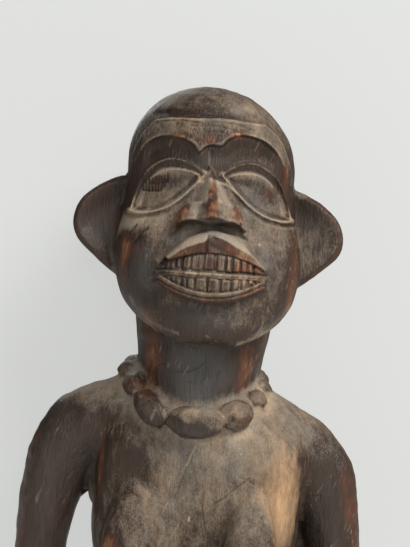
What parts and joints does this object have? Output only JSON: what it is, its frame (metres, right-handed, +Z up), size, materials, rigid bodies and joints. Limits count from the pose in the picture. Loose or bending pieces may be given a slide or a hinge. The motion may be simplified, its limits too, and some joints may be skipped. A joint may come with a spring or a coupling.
{
  "type": "carved wooden female figure",
  "caption": "Standing female figure carved from one block of dark wood, with disc ears, bared teeth, a carved bead necklace and a low oval base.",
  "frame": {"origin": "centre of the flat underside of the base", "axes": "+Z up along the figure's height, -Y the way the face looks, +X to the right of somebody who faces the figure"},
  "size_m": [0.2083, 0.1416, 0.6],
  "materials": {
    "dark_wood": "dark patina, worn to red-brown on proud edges, grey-brown dust on upward faces, semi-gloss where handled"
  },
  "bodies": {
    "root": {"figure": "dark_wood"}
  },
  "joints": []
}
